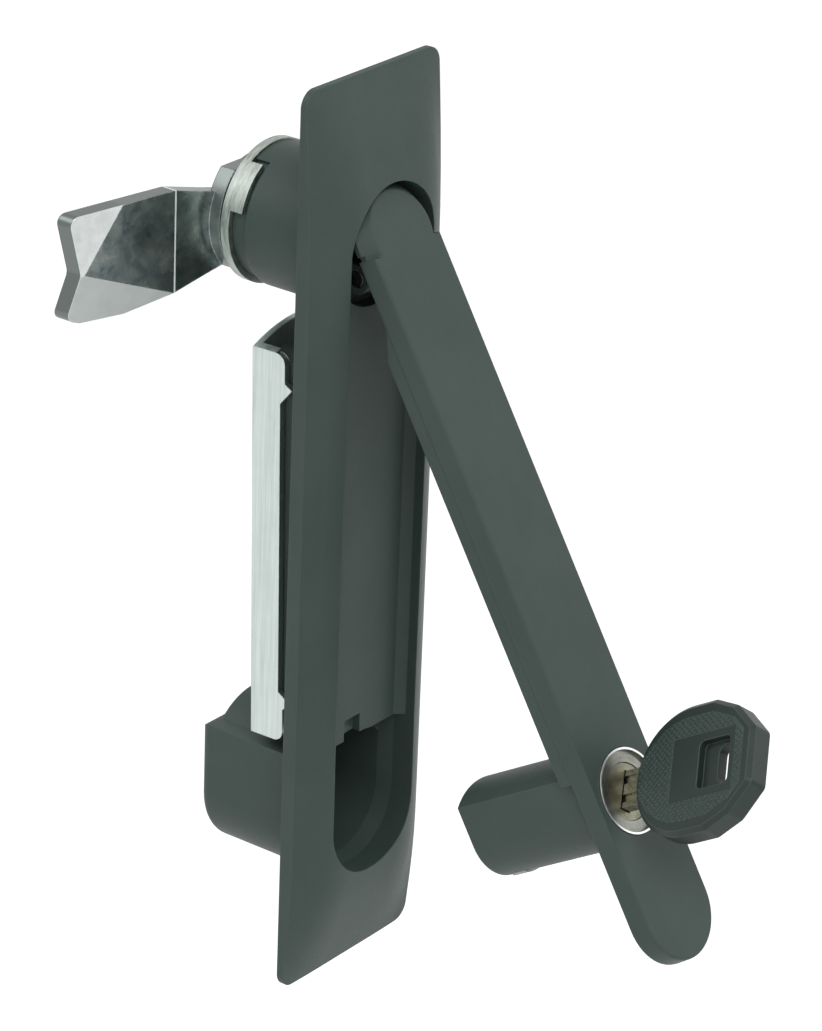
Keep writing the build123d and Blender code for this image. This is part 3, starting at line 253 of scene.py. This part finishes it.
class Finish:
    """A material with its node maker, object coordinates and shader at hand."""

    def __init__(self, name, colour, roughness, metallic=0.0, edge=0.25 * MM):
        self.material = bpy.data.materials.new(name)
        self.material.use_nodes = True
        self.tree = self.material.node_tree
        self.make = node_maker(self.tree)
        self.shader = self.tree.nodes["Principled BSDF"]
        self.shader.inputs["Base Color"].default_value = (*colour, 1)
        self.shader.inputs["Roughness"].default_value = roughness
        self.shader.inputs["Metallic"].default_value = metallic
        self.place = self.make("ShaderNodeTexCoord")
        self.edge = self.make("ShaderNodeBevel", {"Radius": edge}, samples=6)
        self.material.diffuse_color = (*colour, 1)

    def link(self, source, target):
        self.tree.links.new(source, target)

    def stretched(self, scale, turn=(0, 0, 0)):
        """Object coordinates stretched by scale along each axis and turned."""
        node = self.make("ShaderNodeMapping")
        node.inputs["Scale"].default_value = scale
        node.inputs["Rotation"].default_value = turn
        self.link(self.place.outputs["Object"], node.inputs["Vector"])
        return node.outputs["Vector"]

    def noise(self, scale, detail=3.0, roughness=0.5, vector=None):
        """Noise from 0 to 1 at that many cycles per metre."""
        node = self.make(
            "ShaderNodeTexNoise", {"Scale": scale, "Detail": detail, "Roughness": roughness}
        )
        self.link(vector or self.place.outputs["Object"], node.inputs["Vector"])
        return node.outputs["Fac"]

    def ramp(self, value, stops):
        """Colours chosen by value; stops are pairs of place and colour."""
        node = self.make("ShaderNodeValToRGB")
        first, last = node.color_ramp.elements[0], node.color_ramp.elements[-1]
        first.position, first.color = stops[0][0], (*stops[0][1], 1)
        last.position, last.color = stops[-1][0], (*stops[-1][1], 1)
        for place, colour in stops[1:-1]:
            element = node.color_ramp.elements.new(place)
            element.color = (*colour, 1)
        self.link(value, node.inputs["Fac"])
        return node.outputs["Color"]

    def band(self, value, low, high, low_out, high_out):
        """Value carried from one range to another and clamped there."""
        node = self.make(
            "ShaderNodeMapRange",
            {"From Min": low, "From Max": high, "To Min": low_out, "To Max": high_out},
        )
        self.link(value, node.inputs["Value"])
        return node.outputs["Result"]

    def paint_edge_highlight(self, body, edge_highlight):
        """Body colour that turns to a paler painted highlight where the surface bends over an
        edge.
        """
        shape = self.make("ShaderNodeNewGeometry")
        bend = self.make("ShaderNodeVectorMath", operation="DOT_PRODUCT")
        self.link(self.edge.outputs["Normal"], bend.inputs[0])
        self.link(shape.outputs["True Normal"], bend.inputs[1])
        return self.mix(self.band(bend.outputs["Value"], 0.99, 0.90, 0.0, 0.8), body, edge_highlight)

    def mix(self, share, first, second, kind="RGBA"):
        """First turned to second by share; each is a socket or a plain value."""
        node = self.make("ShaderNodeMix", data_type=kind)
        low, high, out = (6, 7, 2) if kind == "RGBA" else (2, 3, 0)
        self.link(share, node.inputs[0])
        for place, value in ((low, first), (high, second)):
            if isinstance(value, bpy.types.NodeSocket):
                self.link(value, node.inputs[place])
            elif kind == "RGBA":
                node.inputs[place].default_value = (*value, 1)
            else:
                node.inputs[place].default_value = value
        return node.outputs[out]

    def colour(self, socket):
        self.link(socket, self.shader.inputs["Base Color"])

    def roughness(self, socket):
        self.link(socket, self.shader.inputs["Roughness"])

    def bump(self, height, depth, strength=1.0):
        """Relief of that depth in metres on top of the rounded edges."""
        node = self.make("ShaderNodeBump", {"Strength": strength, "Distance": depth})
        self.link(height, node.inputs["Height"])
        self.link(self.edge.outputs["Normal"], node.inputs["Normal"])
        self.link(node.outputs["Normal"], self.shader.inputs["Normal"])

    def paint(self, *names):
        """Give this finish to CAD nodes or new pieces by name."""
        for name in names:
            mesh = bpy.data.objects[name].data if name not in nodes else nodes[name].data
            mesh.materials.clear()
            mesh.materials.append(self.material)


# %% [markdown]
# ### Moulded plastic
# The dish and the handle are glass-filled nylon in a dark grey-green. Its mould is spark eroded,
# which leaves a fine even grain, and the glass shows as a faint cloudiness. Both come from noise:
# a small one for the grain and a large one for the clouds.

# %% Grained plastic for the dish and the handle


def grained_plastic(
    name, deep, pale, roughness, grain_depth=0.02 * MM, edge=0.3 * MM, edge_highlight=1.55
):
    """Dark moulded plastic: cloudy colour, even grain, soft gloss, and a painted highlight on the
    edges that many times paler.
    """
    finish = Finish(name, deep, roughness, edge=edge)
    clouds = finish.noise(60, 4, 0.6)
    body = finish.ramp(clouds, ((0.3, deep), (0.7, pale)))
    # the edges get a painted highlight, paler than the body
    finish.colour(finish.paint_edge_highlight(body, [edge_highlight * c for c in pale]))
    grain = finish.noise(3200, 2, 0.6)
    finish.roughness(finish.band(grain, 0.3, 0.7, roughness - 0.05, roughness + 0.08))
    finish.shader.inputs["Specular IOR Level"].default_value = 0.32
    finish.bump(grain, grain_depth, 0.6)
    return finish


housing_plastic = grained_plastic(
    "housing_plastic", (0.048, 0.074, 0.065), (0.060, 0.088, 0.079), 0.52
)
housing_plastic.paint("dish", "handle", "latch_cover")

# %% The same plastic, darker as painted shade, for the rotor deep inside the housing
shaded_rotor_plastic = grained_plastic(
    "shaded_rotor_plastic", (0.028, 0.042, 0.038), (0.036, 0.052, 0.046), 0.6
)
shaded_rotor_plastic.paint("spindle")
print("plastic on dish, handle, latch cover and rotor")

# %% [markdown]
# ### Zinc plate
# The clip is rolled sheet with a bright zinc plate. Rolling leaves long fine lines, so the noise
# is squeezed hard across the sheet and left long down its length. The cam is thicker and was
# tumbled, so its plate is smoother and mottled. Its main flat has a faint blue passivation mixed
# with painted reflections in dark and pale mottles. The fold that looks down is painted pale as a
# painted highlight and made rougher and less metallic, the faces turned away from the front get a
# painted shade, and its last bend carries a painted highlight line.

# %% Rolled zinc for the clip
zinc_sheet = Finish("zinc_sheet", (0.60, 0.66, 0.64), 0.34, 1.0, edge=0.3 * MM)
rolled = zinc_sheet.noise(1.0, 3, 0.55, zinc_sheet.stretched((2600, 2600, 55)))
spangle = zinc_sheet.noise(420, 3, 0.6)
zinc_sheet.colour(
    zinc_sheet.ramp(rolled, ((0.25, (0.44, 0.50, 0.48)), (0.75, (0.60, 0.66, 0.64))))
)
zinc_sheet.roughness(zinc_sheet.band(spangle, 0.3, 0.7, 0.28, 0.42))
zinc_sheet.bump(rolled, 0.02 * MM, 0.5)
zinc_sheet.paint("clip")

# %% Tumbled zinc for the cam
zinc_cam = Finish("zinc_cam", (0.55, 0.60, 0.60), 0.2, 1.0, edge=0.3 * MM)
flat_normal = (-0.194, -0.981, 0.0)  # the way the cam's main flat faces
bend_x = -20.0 * MM  # its last bend
bend_half, bend_fade = 0.10 * MM, 0.22 * MM  # the painted highlight line there, and where it has faded
bend_roughness = 0.75
fold_roughness, fold_metallic = 0.62, 0.25
# painted shade for the faces turned away from the front, end faces and rear alike
painted_end_shade = (0.15, 0.17, 0.165)
# painted highlight for the fold that looks down, standing in for the bright surroundings it
# mirrors
fold_painted_highlight = (0.80, 0.86, 0.84)
# painted highlight colour of the line along the last bend
bend_highlight_colour = (0.92, 0.94, 0.93)

# which way each point faces: the main flat, the fold that looks down, and the faces turned away
# from the front, its end faces and rear, which get painted shade
shape = zinc_cam.make("ShaderNodeNewGeometry")
facing = zinc_cam.make("ShaderNodeVectorMath", {1: flat_normal}, operation="DOT_PRODUCT")
zinc_cam.link(shape.outputs["True Normal"], facing.inputs[0])
on_flat = zinc_cam.band(facing.outputs["Value"], 0.985, 0.995, 0.0, 1.0)
normal = zinc_cam.make("ShaderNodeSeparateXYZ")
zinc_cam.link(shape.outputs["True Normal"], normal.inputs[0])
faces_down = zinc_cam.band(normal.outputs["Z"], -0.12, -0.2, 0.0, 1.0)
faces_front = zinc_cam.band(normal.outputs["Y"], -0.55, -0.7, 0.0, 1.0)
on_fold = zinc_cam.make("ShaderNodeMath", operation="MULTIPLY")
zinc_cam.link(faces_down, on_fold.inputs[0])
zinc_cam.link(faces_front, on_fold.inputs[1])
on_end = zinc_cam.band(normal.outputs["Y"], -0.55, -0.4, 0.0, 1.0)

mottle = zinc_cam.noise(330, 6, 0.68)
clean = zinc_cam.ramp(
    mottle,
    ((0.30, (0.56, 0.58, 0.58)), (0.50, (0.64, 0.67, 0.665)), (0.75, (0.72, 0.735, 0.73))),
)
# faint blue passivation mixed with painted reflections: dark and pale mottles on the main flat
passivation_and_reflection = zinc_cam.ramp(
    mottle,
    (
        (0.28, (0.16, 0.25, 0.31)),
        (0.42, (0.42, 0.50, 0.50)),
        (0.56, (0.58, 0.66, 0.63)),
        (0.72, (0.82, 0.88, 0.85)),
    ),
)
plate = zinc_cam.mix(on_flat, clean, passivation_and_reflection)
# painted shade over every face turned away from the front
plate = zinc_cam.mix(on_end, plate, painted_end_shade)
# painted highlight on the fold that looks down
plate = zinc_cam.mix(on_fold.outputs[0], plate, fold_painted_highlight)

# the painted highlight along the last bend
where = zinc_cam.make("ShaderNodeSeparateXYZ")
zinc_cam.link(zinc_cam.place.outputs["Object"], where.inputs[0])
from_bend = zinc_cam.make("ShaderNodeMath", {1: bend_x}, operation="SUBTRACT")
zinc_cam.link(where.outputs["X"], from_bend.inputs[0])
apart = zinc_cam.make("ShaderNodeMath", operation="ABSOLUTE")
zinc_cam.link(from_bend.outputs[0], apart.inputs[0])
bend_highlight = zinc_cam.band(apart.outputs[0], bend_half, bend_fade, 1.0, 0.0)
zinc_cam.colour(zinc_cam.mix(bend_highlight, plate, bend_highlight_colour))

patches = zinc_cam.noise(90, 3, 0.5)
gloss = zinc_cam.mix(
    on_fold.outputs[0], zinc_cam.band(patches, 0.3, 0.7, 0.2, 0.32), fold_roughness, "FLOAT"
)
zinc_cam.roughness(zinc_cam.mix(bend_highlight, gloss, bend_roughness, "FLOAT"))
zinc_cam.link(
    zinc_cam.band(on_fold.outputs[0], 0.0, 1.0, 1.0, fold_metallic),
    zinc_cam.shader.inputs["Metallic"],
)
zinc_cam.bump(mottle, 0.05 * MM, 0.6)
zinc_cam.paint("cam")

# %% Passivated zinc for the stop disc
disc_zinc = Finish("disc_zinc", (0.34, 0.38, 0.36), 0.3, 1.0, edge=0.2 * MM)
streaks = disc_zinc.noise(1.0, 4, 0.6, disc_zinc.stretched((420, 1900, 420)))
disc_zinc.colour(
    disc_zinc.ramp(
        streaks,
        ((0.28, (0.20, 0.23, 0.205)), (0.5, (0.36, 0.40, 0.37)), (0.72, (0.50, 0.54, 0.49))),
    )
)
disc_zinc.roughness(disc_zinc.band(streaks, 0.3, 0.7, 0.42, 0.55))
disc_zinc.bump(streaks, 0.04 * MM, 0.6)
disc_zinc.paint("stop_disc")

# %% Plain metals with a fine speckle


def speckled_metal(name, colour, roughness, stops, scale, detail, gloss, relief, **edge):
    """Metal whose colour, gloss and slight relief all follow one noise."""
    finish = Finish(name, colour, roughness, 1.0, **edge)
    speckle = finish.noise(scale, detail, 0.6)
    finish.colour(finish.ramp(speckle, ((0.3, stops[0]), (0.7, stops[1]))))
    finish.roughness(finish.band(speckle, 0.3, 0.7, *gloss))
    finish.bump(speckle, *relief)
    return finish


zinc_screw = speckled_metal(
    "zinc_screw", (0.60, 0.62, 0.62), 0.3, ((0.50, 0.53, 0.53), (0.68, 0.70, 0.69)),
    900, 4, (0.24, 0.40), (0.01 * MM, 0.5), edge=0.2 * MM,
)
zinc_screw.paint("clip_screws", "cam_washer", "cam_screw", "cylinder_ring", "lock_cam_screw")

black_steel = speckled_metal(
    "black_steel", (0.05, 0.06, 0.055), 0.5, ((0.03, 0.035, 0.03), (0.08, 0.09, 0.085)),
    1400, 3, (0.42, 0.6), (0.01 * MM, 0.5), edge=0.1 * MM,
)
black_steel.paint("hinge_pin", "handle_spring")

die_cast = speckled_metal(
    "die_cast", (0.30, 0.31, 0.31), 0.45, ((0.24, 0.25, 0.25), (0.36, 0.37, 0.37)),
    700, 4, (0.38, 0.55), (0.02 * MM, 0.6),
)
die_cast.paint("lock_cam", "latch_bolt")
print("metal on clip, cam, stop disc, screws, hinge and latch")

# %% [markdown]
# ### The lock cylinder
# The barrel's rim is turned and nickel plated, so its fine lines run round it. The plug is brass
# that has dulled to olive, and the wafers in its keyway are brighter brass.

# %% Nickel and brass of the lock's face
joint_of = {joint["name"]: joint for joint in frame["record"]["behaviour"]["joints"]}
plug_joint = joint_of["plug_turn"]
lock_origin = np.array(plug_joint["pos_m"])
lock_out = -np.array(plug_joint["axis"])


def from_lock_axis(finish):
    """Distance of each point from the lock's axis, in metres."""
    offset = finish.make("ShaderNodeVectorMath", {1: lock_origin}, operation="SUBTRACT")
    finish.link(finish.place.outputs["Object"], offset.inputs[0])
    across = finish.make("ShaderNodeVectorMath", {1: lock_out}, operation="CROSS_PRODUCT")
    finish.link(offset.outputs[0], across.inputs[0])
    length = finish.make("ShaderNodeVectorMath", operation="LENGTH")
    finish.link(across.outputs[0], length.inputs[0])
    return length.outputs["Value"]


def lock_metal(name, dull, pale, rim):
    """Satin metal with a bright rim beyond that radius and fine lines turned round the axis."""
    finish = Finish(name, pale, 0.34, 1.0, edge=0.12 * MM)
    radius = from_lock_axis(finish)
    lines = finish.make(
        "ShaderNodeTexNoise", {"Scale": 4200.0, "Detail": 2.0}, noise_dimensions="1D"
    )
    finish.link(radius, lines.inputs["W"])
    cloud = finish.noise(500, 3, 0.6)
    body = finish.ramp(cloud, ((0.3, dull), (0.7, pale)))
    on_rim = finish.band(radius, rim, rim + 0.1 * MM, 0.0, 1.0)
    finish.colour(finish.mix(on_rim, body, (0.74, 0.76, 0.73)))
    finish.roughness(finish.band(lines.outputs["Fac"], 0.3, 0.7, 0.28, 0.42))
    finish.bump(lines.outputs["Fac"], 0.01 * MM, 0.4)
    return finish


rim_radius = 7.1 * MM
no_rim = 1.0  # a radius far outside the piece
nickel = lock_metal("nickel", (0.17, 0.18, 0.16), (0.26, 0.26, 0.23), rim_radius)
nickel.paint("cylinder_housing")
plug_brass = lock_metal("plug_brass", (0.13, 0.13, 0.09), (0.24, 0.235, 0.18), no_rim)
plug_brass.paint("cylinder_plug")

# %% Brass wafers and the key's steel
wafer_brass = Finish("wafer_brass", (0.66, 0.64, 0.46), 0.25, 1.0, edge=0.1 * MM)
rubbed = wafer_brass.noise(1800, 3, 0.5)
wafer_brass.colour(
    wafer_brass.ramp(rubbed, ((0.3, (0.42, 0.41, 0.28)), (0.7, (0.60, 0.58, 0.44))))
)
wafer_brass.bump(rubbed, 0.005 * MM, 0.5)
wafer_brass.paint("wafers")

key_steel = Finish("key_steel", (0.60, 0.60, 0.58), 0.25, 1.0, edge=0.15 * MM)
milled = key_steel.noise(1.0, 3, 0.5, key_steel.stretched((900, 900, 5200)))
key_steel.colour(key_steel.ramp(milled, ((0.3, (0.40, 0.39, 0.33)), (0.7, (0.62, 0.61, 0.55)))))
key_steel.roughness(key_steel.band(milled, 0.3, 0.7, 0.2, 0.34))
key_steel.bump(milled, 0.01 * MM, 0.5)
key_steel.paint("key_blade")

# the bow's edges get a painted highlight 3.4 times paler than its pale tone
bow_plastic = grained_plastic(
    "bow_plastic", (0.022, 0.036, 0.032), (0.029, 0.045, 0.040), 0.42, 0.01 * MM, 0.35 * MM, 3.4
)
bow_plastic.paint("key_bow")

# %% [markdown]
# ### The grip on the key
# The bow has a fine chequer on both faces, which is too small for the CAD model. Each face gets
# closed patches that lie just under the bow's surface and rise through it in small pyramids.
# With u across the bow and w along it, the height is
# h(u, w) = H min(T((u + w) / p), T((u - w) / p)), where T is a triangle wave and p the pitch.
# A plain panel is left round the slot in the middle. So each face has four patches, below, above
# and on both sides of it, joined in one piece that sinks under the surface at panel and rim.

# %% Build the two chequered sheets
key_angle = math.radians(-plug_joint["range_deg"][0])
lock_rise = np.cross(lock_out, (1, 0, 0))
key_across = math.sin(key_angle) * np.array((1, 0, 0)) + math.cos(key_angle) * lock_rise
key_normal = np.cross(key_across, lock_out)

bow_start = 10.3 * MM  # bow's lower end in front of the lock's pin plane
bow_face = 2.5 * MM  # half the bow's thickness
bow_length = 26.2 * MM
bow_round = 11.8 * MM  # radius of its round lower half
upper_along = np.array((11.8, 16.8, 21.8, 26.2)) * MM
upper_half = np.array((11.8, 11.8, 9.7, 4.9)) * MM
grip_inset = 2.2 * MM
grip_pitch = 1.15 * MM
grip_height = 0.2 * MM
grip_sink = 0.08 * MM
panel_half = 5.6 * MM
panel_along = (8.7 * MM, 22.0 * MM)
grip_ends = (1.0 * MM, bow_length - 1.9 * MM)
grip_row = 0.13 * MM  # distance between rows of points
grip_columns = 170
panel_fade = 0.25 * MM  # the pyramids grow to full height over these
rim_fade = 0.3 * MM
sheet_bottom = bow_face - 4 * grip_sink


def triangle_wave(x):
    """0 at every whole number and 1 half way between."""
    return 1 - 2 * np.abs(x - np.floor(x) - 0.5)


def soft_step(x, low, high):
    """0 below low, 1 above high, smooth between."""
    share = np.clip((x - low) / (high - low), 0, 1)
    return share * share * (3 - 2 * share)


def bow_half(along):
    """Half the bow's width at that distance from its lower end."""
    lower = np.sqrt(np.clip(bow_round**2 - (bow_round - along) ** 2, 0, None))
    return np.where(along < bow_round, lower, np.interp(along, upper_along, upper_half))


def closed_sheet(top, bottom):
    """Points and faces of the closed sheet between two grids, with outward normals."""
    rows, columns = top.shape[:2]
    count = rows * columns
    index = np.arange(count).reshape(rows, columns)
    quads = np.stack(
        (index[:-1, :-1], index[:-1, 1:], index[1:, 1:], index[1:, :-1]), -1
    ).reshape(-1, 4)
    rim = np.concatenate((index[0, :-1], index[:-1, -1], index[-1, :0:-1], index[:0:-1, 0]))
    walls = np.stack((np.roll(rim, -1), rim, rim + count, np.roll(rim, -1) + count), -1)
    faces = np.concatenate((quads, quads[:, ::-1] + count, walls))
    points = np.concatenate((top.reshape(-1, 3), bottom.reshape(-1, 3)))
    a, b, c, d = (points[faces[:, k]] for k in range(4))
    volume = (np.cross(b - a, c - a) * a).sum() + (np.cross(c - a, d - a) * a).sum()
    return points, faces[:, ::-1] if volume < 0 else faces


def grip_edge(along):
    """Half the grip's width at that distance from the bow's lower end."""
    return bow_half(along) - grip_inset


def panel_edge(along):
    """Half the plain panel's width."""
    return np.full_like(along, panel_half)


def grip_patch(side, start, end, left, right):
    """Chequered patch P = origin + u across + w out + h normal, with left(w) < u < right(w)."""
    rows = int((end - start) / grip_row)
    share, across = np.meshgrid(
        np.linspace(0, 1, rows), np.linspace(0, 1, grip_columns), indexing="ij"
    )
    along = start + share * (end - start)
    u = left(along) + across * (right(along) - left(along))
    pyramids = np.minimum(
        triangle_wave((u + along) / grip_pitch), triangle_wave((u - along) / grip_pitch)
    )
    off_panel = np.maximum(
        np.abs(u) - panel_half, np.maximum(panel_along[0] - along, along - panel_along[1])
    )
    off_rim = np.minimum(
        grip_edge(along) - np.abs(u), np.minimum(along - grip_ends[0], grip_ends[1] - along)
    )
    shown = soft_step(off_panel, 0.0, panel_fade) * soft_step(off_rim, 0.0, rim_fade)
    height = -grip_sink + shown * (grip_sink + grip_height * pyramids)

    def lifted(level):
        out_by = (bow_start + along)[..., None] * lock_out
        raised = side * level[..., None] * key_normal
        return lock_origin + u[..., None] * key_across + out_by + raised

    return closed_sheet(lifted(bow_face + height), lifted(np.full_like(u, sheet_bottom)))


def grip_sheet(name, side):
    """Four patches round the plain panel on one face of the bow, joined in one piece."""
    patches = [
        grip_patch(side, grip_ends[0], panel_along[0], lambda w: -grip_edge(w), grip_edge),
        grip_patch(side, panel_along[1], grip_ends[1], lambda w: -grip_edge(w), grip_edge),
        grip_patch(side, *panel_along, lambda w: -grip_edge(w), lambda w: -panel_edge(w)),
        grip_patch(side, *panel_along, panel_edge, grip_edge),
    ]
    starts = np.cumsum([0] + [len(points) for points, _ in patches])
    points = np.concatenate([points for points, _ in patches])
    faces = np.concatenate([faces + start for (_, faces), start in zip(patches, starts)])
    mesh = bpy.data.meshes.new(name)
    mesh.from_pydata(points.tolist(), [], faces.tolist())
    sheet = bpy.data.objects.new(name, mesh)
    scene.collection.objects.link(sheet)
    bow_plastic.paint(name)
    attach(sheet, "key")
    return sheet


grips = [grip_sheet("bow_grip_front", -1), grip_sheet("bow_grip_back", 1)]
print("grip faces:", [len(g.data.polygons) for g in grips])

# %% Rubber for the seal and the sealing ring
seal_rubber = Finish("seal_rubber", (0.02, 0.022, 0.022), 0.85)
pores = seal_rubber.noise(2400, 3, 0.7)
seal_rubber.colour(
    seal_rubber.ramp(pores, ((0.3, (0.012, 0.013, 0.013)), (0.7, (0.03, 0.032, 0.032))))
)
seal_rubber.bump(pores, 0.05 * MM, 0.7)
seal_rubber.paint("dish_seal", "spindle_ring")
print("finishes:", len(bpy.data.materials))
